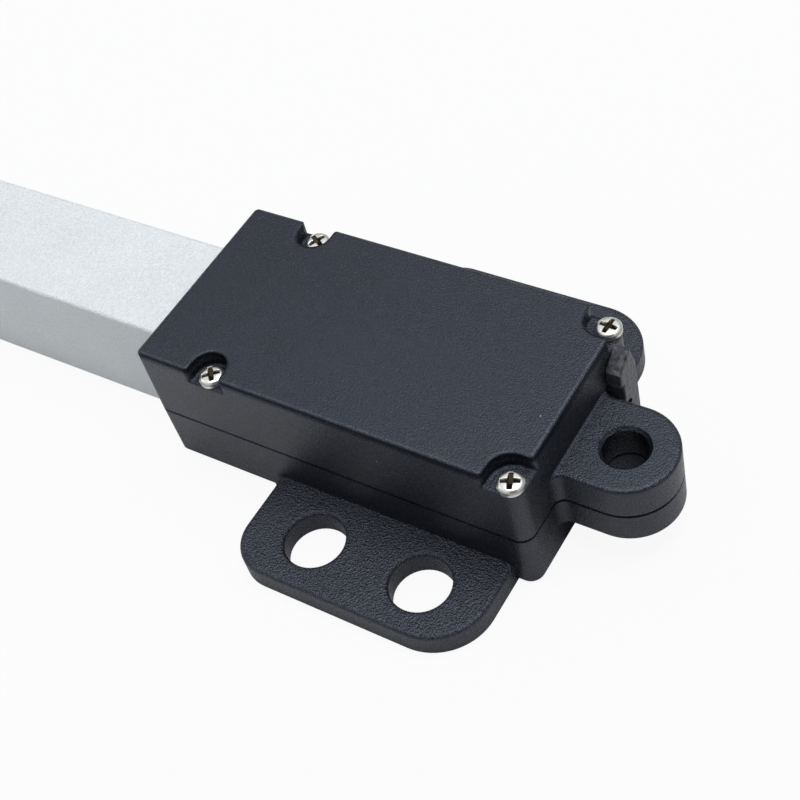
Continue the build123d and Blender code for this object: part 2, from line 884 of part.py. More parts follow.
def lead_screw():
    """Lead screw: journal, bearing seat, thrust collar and threaded length."""
    screw = rod_along_x(journal_rear, bearing_rear, journal_radius)
    screw += rod_along_x(bearing_rear, bearing_front, bearing_bore_radius)
    collar_front = bearing_front + screw_collar_width
    screw += rod_along_x(bearing_front, collar_front, bearing_bore_radius + bearing_race / 2)
    screw += rod_along_x(collar_front, travel_end, lead_screw_radius)
    tip = screw.faces().sort_by(Axis.X)[-1].edges()
    return chamfer(tip, lead_screw_radius / 6)


# Nut, carrier and rod
def nut_carrier():
    """Square slider that keeps the nut from turning in the tube."""
    side = half_bore - carrier_clearance
    low = axis_z - carrier_drop
    slider = block(carrier_rear, carrier_front, -side, side, low, axis_z + side)
    slider = chamfer(slider.edges().filter_by(Axis.X).sort_by(Axis.Z)[-2:], tube_wall / 2)
    return slider - rod_along_x(carrier_rear - over, carrier_front + over, nut_radius + fit_clearance)


def drive_nut():
    """Brass nut in the carrier, with a nose that goes into the rod."""
    nut = rod_along_x(carrier_rear, carrier_front, nut_radius)
    nose_front = carrier_front + nut_nose_length
    nut += rod_along_x(carrier_front, nose_front, nut_nose_radius)
    bore = lead_screw_radius + running_clearance
    return nut - rod_along_x(carrier_rear - over, nose_front + over, bore)


def push_rod():
    """Steel rod, hollow over the lead screw and solid at its front end."""
    rod = rod_along_x(carrier_front, rod_front, rod_radius)
    nose_front = carrier_front + nut_nose_length + running_clearance
    rod -= rod_along_x(carrier_front - over, nose_front, nut_nose_radius + fit_clearance)
    rod -= rod_along_x(carrier_front, travel_end + over, rod_bore_radius)
    x = rod_end_rear + rod_end_socket / 2
    reach = rod_radius + 1
    return rod - rod_along_y(-reach, reach, rod_end_pin_radius + fit_clearance, x, axis_z)


def rod_end():
    """End fitting: a collar over the rod and a flat tongue with a cross hole."""
    collar_front = rod_end_rear + rod_end_collar_length
    collar = rod_along_x(rod_end_rear, collar_front, rod_end_collar_radius)
    half = rod_end_thickness / 2
    tongue = rod_along_z(axis_z - half, axis_z + half, rod_end_radius, rod_end_hole_x, 0)
    neck_half = rod_end_collar_radius * math.cos(math.asin(half / rod_end_collar_radius))
    neck = block(
        collar_front - over, rod_end_hole_x, -neck_half, neck_half, axis_z - half, axis_z + half
    )
    fitting = collar + tongue + neck
    high = axis_z + half
    low = axis_z - half
    fitting -= rod_along_z(low - over, high + over, rod_end_hole_radius, rod_end_hole_x, 0)
    for side in (-1, 1):
        mouth = Cone(
            rod_end_hole_radius, rod_end_hole_radius + 2 * rod_end_chamfer, 2 * rod_end_chamfer
        )
        turned = Rot(0 if side > 0 else 180, 0, 0) * mouth
        fitting -= Pos(rod_end_hole_x, 0, axis_z + side * half) * turned
    fitting -= rod_along_x(rod_end_rear - over, rod_front, rod_radius + fit_clearance)
    x = rod_end_rear + rod_end_socket / 2
    reach = rod_end_collar_radius + 1
    return fitting - rod_along_y(-reach, reach, rod_end_pin_radius + fit_clearance, x, axis_z)


def rod_end_pin():
    """Cross pin that fixes the end fitting to the rod."""
    x = rod_end_rear + rod_end_socket / 2
    reach = rod_end_collar_radius - fit_clearance
    return rod_along_y(-reach, reach, rod_end_pin_radius, x, axis_z)


# Limit switches
def limit_board():
    """Narrow circuit board along the floor of the tube."""
    rear = tube_rear + board_setback
    front = cap_rear - board_end_gap
    low = board_top - board_thickness
    return block(rear, front, -board_half_width, board_half_width, low, board_top)


def pivot_place(forward):
    """X and Z of a lever's pivot: beside the carrier at the end of its travel."""
    reach = lever_gap + lever_thickness / 2
    x = travel_end + reach if forward else carrier_rear - reach
    return x, board_top + switch_pivot_height


def switch_body(forward):
    """Switch housing with a slot at its outer end for the lever."""
    x, z = pivot_place(forward)
    side = 1 if forward else -1
    outer = x + side * lever_pivot_inset
    x0, x1 = sorted((outer, outer - side * switch_length))
    y0 = switch_offset_y - switch_width / 2
    y1 = switch_offset_y + switch_width / 2
    case = block(x0, x1, y0, y1, board_top, board_top + switch_height)
    x0, x1 = sorted((outer + side, outer - side * lever_slot_length))
    low = switch_offset_y - lever_width / 2 - lever_slot_clearance
    high = switch_offset_y + lever_width / 2 + lever_slot_clearance
    slot_floor = z - lever_tail - lever_pin_radius - lever_slot_clearance
    case -= block(x0, x1, low, high, slot_floor, board_top + switch_height + over)
    return case - rod_along_y(y0 - over, y1 + over, lever_pin_radius + pin_clearance, x, z)


def switch_lever(forward):
    """Lever with its pivot pin, standing in the carrier's way."""
    x, z = pivot_place(forward)
    half_t = lever_thickness / 2
    y0 = switch_offset_y - lever_width / 2
    y1 = switch_offset_y + lever_width / 2
    low = z - lever_tail
    high = axis_z - carrier_drop + lever_reach
    lever = block(x - half_t, x + half_t, y0, y1, low, high)
    y0 = switch_offset_y - switch_width / 2
    y1 = switch_offset_y + switch_width / 2
    return lever + rod_along_y(y0, y1, lever_pin_radius, x, z)


def diodes():
    """Two diodes on the board, behind the bearing."""
    first = tube_rear + board_setback + diode_inset
    half = diode_width / 2
    top = board_top + diode_height
    pieces = []
    for x in (first, first + diode_pitch):
        body = block(x, x + diode_length, -half, half, board_top, top)
        pieces.append(chamfer(body.faces().sort_by(Axis.Z)[-1].edges(), diode_height / 6))
    return Compound(children=pieces)


def cable_grommet():
    """Rubber grommet on the rear wall beside the ear, with its neck through the wall."""
    outline = Polygon(
        (-grommet_outer_y, -grommet_bottom),
        (-grommet_inner_y, -grommet_bottom),
        (-grommet_inner_y, ear_half_height + grommet_step),
        (-grommet_step_y, ear_half_height + grommet_step),
        (-grommet_step_y, grommet_near_top),
        (-grommet_peak_y, grommet_peak),
        (-grommet_outer_y, grommet_shoulder),
        align=None,
    )
    rear = body_rear - grommet_stand
    plane = Plane(origin=(rear, 0, 0), x_dir=(0, 1, 0), z_dir=(1, 0, 0))
    lip = extrude(plane * outline, amount=grommet_stand)
    lip = fillet(lip.faces().sort_by(Axis.X)[0].edges(), grommet_edge_round)
    body = lip + grommet_neck(-fit_clearance)
    reach = body_rear + housing_wall + 1
    for side in (-1, 1):
        z = side * grommet_hole_drop
        body -= rod_along_x(rear - over, reach, grommet_hole_radius, -grommet_neck_y, z)
    return body


def model():
    """Every piece by name."""
    return {
        "upper_shell": upper_shell(),
        "lower_shell": lower_shell(),
        "cover_screws": cover_screws(),
        "cable_grommet": cable_grommet(),
        "outer_tube": outer_tube(),
        "front_cap": front_cap(),
        "rod_wiper": rod_wiper(),
        "cap_screws": cap_screws(),
        "motor_can": motor_can(),
        "motor_end_cap": motor_end_cap(),
        "motor_terminals": terminal_blades(0.0),
        "motor_shaft": motor_shaft(),
        "motor_pinion": motor_pinion(),
        "gearbox_rear_plate": gearbox_rear_plate(),
        "gearbox_front_plate": gearbox_front_plate(),
        "gearbox_posts": gearbox_posts(),
        "idler_pins": idler_pins(),
        "idler_gear_1": idler_gear_1(),
        "idler_gear_2": idler_gear_2(),
        "output_gear": output_gear(),
        "output_shaft": output_shaft(),
        "output_bush": output_bush(),
        "shaft_coupling": shaft_coupling(),
        "grub_screws": grub_screws(),
        "thrust_washer": thrust_washer(),
        "bearing_inner_ring": bearing_inner_ring(),
        "bearing_outer_ring": bearing_outer_ring(),
        "bearing_balls": bearing_balls(),
        "bearing_block": bearing_block(),
        "lead_screw": lead_screw(),
        "drive_nut": drive_nut(),
        "nut_carrier": nut_carrier(),
        "push_rod": push_rod(),
        "rod_end": rod_end(),
        "rod_end_pin": rod_end_pin(),
        "limit_board": limit_board(),
        "rear_switch": switch_body(False),
        "front_switch": switch_body(True),
        "rear_switch_lever": switch_lever(False),
        "front_switch_lever": switch_lever(True),
        "diodes": diodes(),
    }


for name, solid in model().items():
    export_step(solid, f"parts/{name}.step")
    print(name, round(solid.volume, 3))
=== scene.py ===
import bpy
import math
import numpy as np
from mathutils import Matrix, Vector


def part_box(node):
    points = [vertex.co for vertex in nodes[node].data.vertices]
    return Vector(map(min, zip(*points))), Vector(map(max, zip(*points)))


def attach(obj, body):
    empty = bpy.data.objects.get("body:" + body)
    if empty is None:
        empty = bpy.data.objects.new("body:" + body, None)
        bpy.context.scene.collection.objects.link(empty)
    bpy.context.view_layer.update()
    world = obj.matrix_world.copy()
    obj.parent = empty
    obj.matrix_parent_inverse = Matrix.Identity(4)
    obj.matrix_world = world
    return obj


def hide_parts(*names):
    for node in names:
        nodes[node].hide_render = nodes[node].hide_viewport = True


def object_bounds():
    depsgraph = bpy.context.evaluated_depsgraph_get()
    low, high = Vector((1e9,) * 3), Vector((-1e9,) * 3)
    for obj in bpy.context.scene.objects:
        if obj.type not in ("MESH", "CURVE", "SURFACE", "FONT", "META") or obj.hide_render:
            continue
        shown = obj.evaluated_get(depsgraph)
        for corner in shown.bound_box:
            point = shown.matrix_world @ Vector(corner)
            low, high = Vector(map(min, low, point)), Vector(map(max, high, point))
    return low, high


# Micro linear actuator: finishes, screw recesses and threads over the CAD frame, in metres

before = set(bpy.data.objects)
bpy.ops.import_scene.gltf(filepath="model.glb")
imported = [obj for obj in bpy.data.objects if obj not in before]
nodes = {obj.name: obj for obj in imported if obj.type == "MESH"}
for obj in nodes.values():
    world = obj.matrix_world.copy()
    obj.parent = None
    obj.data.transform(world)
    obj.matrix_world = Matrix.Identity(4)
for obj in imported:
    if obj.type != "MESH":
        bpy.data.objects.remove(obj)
cadLow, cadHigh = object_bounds()  # the CAD box
scene = bpy.context.scene
millimetre = 0.001  # screws and threads are drawn in millimetres
print("frame loaded:", len(nodes), "nodes")


# camera, at the photo's place

cameraSettings = {
    "place": (-0.040987, 0.065307, 0.103025),
    "right": (-0.83816, -0.50746, -0.19995),
    "up": (0.28649, -0.72155, 0.63032),
    "lens": 67.515,
    "sensor": 36.0,
    "clip": (0.004, 20.0),
}


def placeCamera(settings):
    data = bpy.data.cameras.new("photoCamera")
    data.lens = settings["lens"]
    data.sensor_width = settings["sensor"]
    data.sensor_fit = "HORIZONTAL"
    data.clip_start, data.clip_end = settings["clip"]
    camera = bpy.data.objects.new("photoCamera", data)
    scene.collection.objects.link(camera)
    right = Vector(settings["right"]).normalized()
    up = Vector(settings["up"])
    up = (up - right * up.dot(right)).normalized()
    back = right.cross(up)  # the camera looks along its own -Z
    turn = Matrix((right, up, back)).transposed().to_4x4()
    camera.matrix_world = Matrix.Translation(settings["place"]) @ turn
    scene.camera = camera


placeCamera(cameraSettings)
print("camera placed")


# building blocks of the materials


def link(tree, fromSocket, toSocket):
    tree.links.new(fromSocket, toSocket)


# a socket takes a number, a colour or another socket
def feed(tree, socket, value):
    if isinstance(value, (int, float)):
        socket.default_value = value
    elif isinstance(value, tuple):
        socket.default_value = (*value, 1)
    else:
        link(tree, value, socket)


def addNode(tree, kind, **values):
    node = tree.nodes.new(kind)
    for key, value in values.items():
        setattr(node, key, value)
    return node


def mathNode(tree, operation, first, second=None, clamp=False):
    node = addNode(tree, "ShaderNodeMath", operation=operation, use_clamp=clamp)
    feed(tree, node.inputs[0], first)
    if second is not None:
        feed(tree, node.inputs[1], second)
    return node.outputs[0]


def vectorNode(tree, operation, first, second=None):
    node = addNode(tree, "ShaderNodeVectorMath", operation=operation)
    link(tree, first, node.inputs[0])
    if second is not None:
        link(tree, second, node.inputs[1])
    return node.outputs[0]


def splitVector(tree, vector):
    node = addNode(tree, "ShaderNodeSeparateXYZ")
    link(tree, vector, node.inputs[0])
    return node.outputs


def noiseNode(tree, vector, scale, detail):
    node = addNode(tree, "ShaderNodeTexNoise")
    node.inputs["Detail"].default_value = detail
    link(tree, vector, node.inputs["Vector"])
    feed(tree, node.inputs["Scale"], scale)
    return node


def mapRange(tree, value, fromLow, fromHigh, toLow=0.0, toHigh=1.0):
    node = addNode(tree, "ShaderNodeMapRange")
    labels = ("Value", "From Min", "From Max", "To Min", "To Max")
    for label, given in zip(labels, (value, fromLow, fromHigh, toLow, toHigh)):
        feed(tree, node.inputs[label], given)
    return node.outputs["Result"]


mixSockets = {"FLOAT": (2, 3, 0), "VECTOR": (4, 5, 1), "RGBA": (6, 7, 2)}  # two inputs, one output


def mixNode(tree, kind, factor, first, second):
    node = addNode(tree, "ShaderNodeMix", data_type=kind)
    firstIndex, secondIndex, result = mixSockets[kind]
    for index, value in ((0, factor), (firstIndex, first), (secondIndex, second)):
        feed(tree, node.inputs[index], value)
    return node.outputs[result]


def mixColor(tree, factor, first, second):
    return mixNode(tree, "RGBA", factor, first, second)


def emptyMaterial(name):
    material = bpy.data.materials.new(name)
    material.use_nodes = True
    material.node_tree.nodes.clear()
    return material, material.node_tree


# light, floor and background

stageSettings = {
    "zenithColor": (0.66, 0.70, 0.75),
    "horizonColor": (0.10, 0.10, 0.11),
    "gradient": (0.10, 0.65),  # sine of the height at which the air turns from dark to white
    "airStrength": 0.70,
    "mirroredStrength": 1.0,  # the same air, as glossy surfaces mirror it
    "backdropColor": (1.0, 1.0, 1.0),
    "lamps": [
        # name, place, aim, size, watts
        ("overheadSoftbox", (-0.08, -0.05, 0.62), (0.03, 0.0, 0.0), 0.50, 3.2),
        ("frontSoftbox", (0.50, 0.20, 0.35), (0.03, 0.0, 0.0), 0.30, 0.22),
    ],
    "flagPlace": (-0.127, 0.150, 0.238),  # dark card behind the camera
    "flagAim": (0.024, 0.0, 0.0),
    "flagSize": 0.26,
    "flagColor": (0.02, 0.02, 0.02),
    "floorSize": 3.0,
    "floorColor": (0.72, 0.72, 0.72),
    "floorGlowShare": 0.92,  # how much of the floor's white comes from the backdrop's own glow
}


def aimAt(thing, place, aim):
    thing.location = place
    thing.rotation_euler = (Vector(aim) - Vector(place)).to_track_quat("-Z", "Y").to_euler()


def makeSquare(name, size, height=0.0):
    half = size / 2
    corners = [(x * half, y * half, height) for x, y in ((-1, -1), (1, -1), (1, 1), (-1, 1))]
    mesh = bpy.data.meshes.new(name)
    mesh.from_pydata(corners, [], [(0, 1, 2, 3)])
    square = bpy.data.objects.new(name, mesh)
    scene.collection.objects.link(square)
    return square


def makeWorld(settings):
    world = bpy.data.worlds.new("studioAir")
    scene.world = world
    world.use_nodes = True
    tree = world.node_tree
    tree.nodes.clear()
    direction = addNode(tree, "ShaderNodeTexCoord").outputs["Generated"]
    height = mapRange(tree, splitVector(tree, direction)[2], *settings["gradient"])
    color = mixColor(tree, height, settings["horizonColor"], settings["zenithColor"])
    light = addNode(tree, "ShaderNodeBackground")
    link(tree, color, light.inputs["Color"])
    seen = addNode(tree, "ShaderNodeBackground")
    feed(tree, seen.inputs["Color"], settings["backdropColor"])
    path = addNode(tree, "ShaderNodeLightPath")
    glossy = path.outputs["Is Glossy Ray"]
    strengths = (settings["airStrength"], settings["mirroredStrength"])
    link(tree, mapRange(tree, glossy, 0.0, 1.0, *strengths), light.inputs["Strength"])
    mix = addNode(tree, "ShaderNodeMixShader")
    output = addNode(tree, "ShaderNodeOutputWorld")
    link(tree, path.outputs["Is Camera Ray"], mix.inputs[0])
    link(tree, light.outputs[0], mix.inputs[1])
    link(tree, seen.outputs[0], mix.inputs[2])
    link(tree, mix.outputs[0], output.inputs["Surface"])


def makeLamps(settings):
    for name, place, aim, size, watts in settings["lamps"]:
        data = bpy.data.lights.new(name, "AREA")
        data.shape = "SQUARE"
        data.size = size
        data.energy = watts
        lamp = bpy.data.objects.new(name, data)
        scene.collection.objects.link(lamp)
        aimAt(lamp, place, aim)


# white paper under the part; it shows the backdrop's own white, and a little of the shadow
def makeFloor(settings):
    floor = makeSquare("paperFloor", settings["floorSize"], cadLow[2])
    material, tree = emptyMaterial("whitePaper")
    paper = addNode(tree, "ShaderNodeBsdfDiffuse")
    feed(tree, paper.inputs["Color"], settings["floorColor"])
    glow = addNode(tree, "ShaderNodeEmission")
    feed(tree, glow.inputs["Color"], settings["backdropColor"])
    path = addNode(tree, "ShaderNodeLightPath").outputs
    seen = mathNode(tree, "MAXIMUM", path["Is Camera Ray"], path["Is Transmission Ray"])
    mix = addNode(tree, "ShaderNodeMixShader")
    output = addNode(tree, "ShaderNodeOutputMaterial")
    link(tree, mathNode(tree, "MULTIPLY", seen, settings["floorGlowShare"]), mix.inputs[0])
    link(tree, paper.outputs[0], mix.inputs[1])
    link(tree, glow.outputs[0], mix.inputs[2])
    link(tree, mix.outputs[0], output.inputs["Surface"])
    floor.data.materials.append(material)


# a dark card behind the camera, which the rounded edges of the black plastic mirror
def makeFlag(settings):
    card = makeSquare("darkCard", settings["flagSize"])
    aimAt(card, settings["flagPlace"], settings["flagAim"])
    material, tree = emptyMaterial("darkFelt")
    felt = addNode(tree, "ShaderNodeBsdfDiffuse")
    feed(tree, felt.inputs["Color"], settings["flagColor"])
    output = addNode(tree, "ShaderNodeOutputMaterial")
    link(tree, felt.outputs[0], output.inputs["Surface"])
    card.data.materials.append(material)


makeWorld(stageSettings)
makeLamps(stageSettings)
makeFloor(stageSettings)
makeFlag(stageSettings)
scene.view_settings.view_transform = "Standard"
print("studio built")


# shared effects, each a node group with named inputs and outputs

noiseMiddle = 0.5  # a noise runs from 0 to 1, and most of it lies near the middle


def newGroup(name, inputs, outputs):
    group = bpy.data.node_groups.new(name, "ShaderNodeTree")
    for label, kind, value in inputs:
        socket = group.interface.new_socket(name=label, in_out="INPUT", socket_type=kind)
        if value is not None:
            socket.default_value = value
    for label, kind in outputs:
        group.interface.new_socket(name=label, in_out="OUTPUT", socket_type=kind)
    entry = addNode(group, "NodeGroupInput").outputs
    leave = addNode(group, "NodeGroupOutput").inputs
    return group, entry, leave


# a noise moved to both sides of zero, times a gain
def centred(tree, noise, gain):
    return mathNode(tree, "MULTIPLY", mathNode(tree, "SUBTRACT", noise, noiseMiddle), gain)


grainEffect = {
    "detail": 3.0,
    "roughness": 0.55,
    "smoothness": 0.6,
    "cloudScale": 0.03,  # share of the grain's own scale
    "cloudDetail": 2.0,
    "cloudTone": 0.5,
    "fineTone": 2.6,
}


# moulded or blasted grain: two sizes of noise plus the pits of a cell pattern
def makeGrainGroup(settings):
    group, entry, leave = newGroup(
        "surfaceGrain",
        [
            ("Vector", "NodeSocketVector", None),
            ("Size", "NodeSocketFloat", 0.00015),
            ("Pits", "NodeSocketFloat", 0.4),
        ],
        [("Height", "NodeSocketFloat"), ("Tone", "NodeSocketFloat")],
    )
    scale = mathNode(group, "DIVIDE", 1.0, entry["Size"])
    fine = noiseNode(group, entry["Vector"], scale, settings["detail"])
    fine.inputs["Roughness"].default_value = settings["roughness"]
    cells = addNode(group, "ShaderNodeTexVoronoi", feature="SMOOTH_F1")
    cells.inputs["Smoothness"].default_value = settings["smoothness"]
    link(group, entry["Vector"], cells.inputs["Vector"])
    link(group, scale, cells.inputs["Scale"])
    cloudScale = mathNode(group, "MULTIPLY", scale, settings["cloudScale"])
    cloud = noiseNode(group, entry["Vector"], cloudScale, settings["cloudDetail"])
    pits = mathNode(group, "MULTIPLY", cells.outputs["Distance"], entry["Pits"])
    link(group, mathNode(group, "ADD", fine.outputs["Fac"], pits), leave["Height"])
    cloudTone = centred(group, cloud.outputs["Fac"], settings["cloudTone"])
    fineTone = centred(group, fine.outputs["Fac"], settings["fineTone"])
    bothTones = mathNode(group, "ADD", cloudTone, fineTone)
    link(group, mathNode(group, "ADD", bothTones, noiseMiddle, clamp=True), leave["Tone"])
    return group


wearAndHighlightEffect = {
    "noiseScale": 1400.0,
    "noiseDetail": 4.0,
    "raggedness": 2.0,
    "topBand": -0.0001,  # lowest place of the rim line, from the top of the box
    "rimFade": (0.30, 0.55),  # noise at which the rim line goes and comes
}


# wear along the edges of a box-like piece: the middle one of the three distances to its faces; and
# a rim line on its top face, which is a painted highlight
def makeWearAndHighlightGroup(settings):
    group, entry, leave = newGroup(
        "edgeWearAndHighlight",
        [
            ("Vector", "NodeSocketVector", None),
            ("Centre", "NodeSocketVector", (0, 0, 0)),
            ("Half", "NodeSocketVector", (0.01, 0.01, 0.01)),
            ("Width", "NodeSocketFloat", 0.0003),
            ("Inset", "NodeSocketFloat", 0.0004),
            ("Line", "NodeSocketFloat", 0.0001),
        ],
        [("Mask", "NodeSocketFloat"), ("RimHighlight", "NodeSocketFloat")],
    )
    fromCentre = vectorNode(group, "SUBTRACT", entry["Vector"], entry["Centre"])
    size = vectorNode(group, "ABSOLUTE", fromCentre)
    x, y, z = splitVector(group, vectorNode(group, "SUBTRACT", size, entry["Half"]))
    most = mathNode(group, "MAXIMUM", mathNode(group, "MAXIMUM", x, y), z)
    least = mathNode(group, "MINIMUM", mathNode(group, "MINIMUM", x, y), z)
    total = mathNode(group, "ADD", mathNode(group, "ADD", x, y), z)
    middle = mathNode(group, "SUBTRACT", mathNode(group, "SUBTRACT", total, most), least)
    scale, detail = settings["noiseScale"], settings["noiseDetail"]
    noise = noiseNode(group, entry["Vector"], scale, detail).outputs["Fac"]
    ragged = centred(group, noise, entry["Width"])
    ragged = mathNode(group, "MULTIPLY", ragged, settings["raggedness"])
    near = mathNode(group, "ADD", middle, ragged)
    low = mathNode(group, "MULTIPLY", entry["Width"], -1.0)
    link(group, mapRange(group, near, low, 0.0), leave["Mask"])
    # the rim is a painted highlight: a thin line on the top face, a fixed way in from the sides
    aside = mathNode(group, "ADD", mathNode(group, "MAXIMUM", x, y), entry["Inset"])
    away = mathNode(group, "DIVIDE", mathNode(group, "ABSOLUTE", aside), entry["Line"])
    onTop = mathNode(group, "GREATER_THAN", z, settings["topBand"])
    line = mathNode(group, "SUBTRACT", 1.0, away, clamp=True)
    faded = mathNode(group, "MULTIPLY", line, mapRange(group, noise, *settings["rimFade"]))
    link(group, mathNode(group, "MULTIPLY", faded, onTop), leave["RimHighlight"])
    return group


speckEffect = {
    "chosenAbove": 0.72,  # cells whose random value is lower hold no speck
}


# scattered specks of dust: the centres of a sparse cell pattern
def makeSpeckGroup(settings):
    group, entry, leave = newGroup(
        "dustSpecks",
        [
            ("Vector", "NodeSocketVector", None),
            ("Spacing", "NodeSocketFloat", 0.002),
            ("Radius", "NodeSocketFloat", 0.03),
        ],
        [("Mask", "NodeSocketFloat")],
    )
    cells = addNode(group, "ShaderNodeTexVoronoi", feature="F1")
    link(group, entry["Vector"], cells.inputs["Vector"])
    link(group, mathNode(group, "DIVIDE", 1.0, entry["Spacing"]), cells.inputs["Scale"])
    cellColor = addNode(group, "ShaderNodeSeparateColor")
    link(group, cells.outputs["Color"], cellColor.inputs[0])
    chosen = mathNode(group, "GREATER_THAN", cellColor.outputs[0], settings["chosenAbove"])
    close = mathNode(group, "LESS_THAN", cells.outputs["Distance"], entry["Radius"])
    link(group, mathNode(group, "MULTIPLY", chosen, close), leave["Mask"])
    return group


brushEffect = {
    "scale": 1.0,
    "detail": 4.0,
    "toneRange": (0.3, 0.7),
}


# turning or brushing marks: noise stretched along one axis
def makeBrushGroup(settings):
    group, entry, leave = newGroup(
        "brushMarks",
        [
            ("Vector", "NodeSocketVector", None),
            ("Stretch", "NodeSocketVector", (200, 9000, 9000)),
        ],
        [("Height", "NodeSocketFloat"), ("Tone", "NodeSocketFloat")],
    )
    stretched = vectorNode(group, "MULTIPLY", entry["Vector"], entry["Stretch"])
    noise = noiseNode(group, stretched, settings["scale"], settings["detail"]).outputs["Fac"]
    link(group, noise, leave["Height"])
    link(group, mapRange(group, noise, *settings["toneRange"]), leave["Tone"])
    return group


grainGroup = makeGrainGroup(grainEffect)
wearAndHighlightGroup = makeWearAndHighlightGroup(wearAndHighlightEffect)
speckGroup = makeSpeckGroup(speckEffect)
brushGroup = makeBrushGroup(brushEffect)
print("shared effects built")


# a group at the given place, with its other inputs set
def useGroup(tree, group, place, **values):
    node = addNode(tree, "ShaderNodeGroup", node_tree=group)
    link(tree, place, node.inputs["Vector"])
    for label, value in values.items():
        node.inputs[label].default_value = value
    return node.outputs


def newMaterial(name):
    material, tree = emptyMaterial(name)
    shader = addNode(tree, "ShaderNodeBsdfPrincipled")
    output = addNode(tree, "ShaderNodeOutputMaterial")
    link(tree, shader.outputs[0], output.inputs["Surface"])
    place = addNode(tree, "ShaderNodeTexCoord").outputs["Object"]
    return material, tree, shader, place


bevelSamples = 8


# relief from a height, over edges that look rounded by the given radius, except where sharp is 1
def addBump(tree, shader, height, depth, edgeRound=0.0, sharp=None):
    bump = addNode(tree, "ShaderNodeBump")
    bump.inputs["Distance"].default_value = depth
    link(tree, height, bump.inputs["Height"])
    if edgeRound:
        edge = addNode(tree, "ShaderNodeBevel", samples=bevelSamples)
        edge.inputs["Radius"].default_value = edgeRound
        plain = addNode(tree, "ShaderNodeNewGeometry").outputs["Normal"]
        normal = mixNode(tree, "VECTOR", sharp, edge.outputs["Normal"], plain)
        link(tree, normal, bump.inputs["Normal"])
    link(tree, bump.outputs["Normal"], shader.inputs["Normal"])


# housing plastic: satin grain on the cover, coarser erosion grain on the feet

housingFinish = {
    "color": (0.0004, 0.0005, 0.0012),
    "paleColor": (0.0068, 0.0069, 0.0100),
    "footPale": (0.0190, 0.0190, 0.0240),
    "specularTint": (0.75, 0.82, 1.0),
    "roughness": (0.21, 0.37),
    "ior": 1.64,
    "coverGrain": 0.00016,
    "coverPits": 0.25,
    "coverDepth": 0.000078,
    "footGrain": 0.00018,
    "footPits": 0.5,
    "footDepth": 0.000105,
    "footFrom": 0.0099,  # the feet start here, to each side
    "footBelow": -0.0040,
    "footFade": 0.0002,
    # worn edges, and the pale line that follows the cover's rim, which is a painted highlight
    "edgeColor": (0.030, 0.030, 0.036),
    "edgeCentre": (0.0242, 0.0, 0.0),
    "edgeHalf": (0.0199, 0.0101, 0.0080),
    "edgeWidth": 0.00012,
    "edgeShare": 0.5,
    "rimHighlightColor": (0.06, 0.06, 0.07),
    "rimInset": 0.00037,
    "rimWidth": 0.00008,
    # rounded edges, and where they stay as sharp as in the CAD
    "edgeRound": 0.00050,
    "rootBand": (0.0108, 0.0107),
    "rootBelow": (-0.0034, -0.0036),
    "grooveBand": (0.0008, 0.0007),
    "holeEdge": 0.0026,
    # the groove between the halves and the bend below the cover's top edge get painted shade:
    # black, and metallic so that they mirror nothing
    "paintedShadeColor": (0.0004, 0.0004, 0.0004),
    "grooveHalf": 0.00016,
    "grooveMiddle": 0.00006,
    "uprightBelow": 0.5,
    "bendTop": 0.00795,
    "bendStart": (0.0, 0.0001),
    "bendEnd": (0.00085, 0.000425),
    "bendShare": 0.75,
    "dustColor": (0.55, 0.55, 0.55),
    "dustSpacing": 0.0032,
    "dustRadius": 0.022,
}


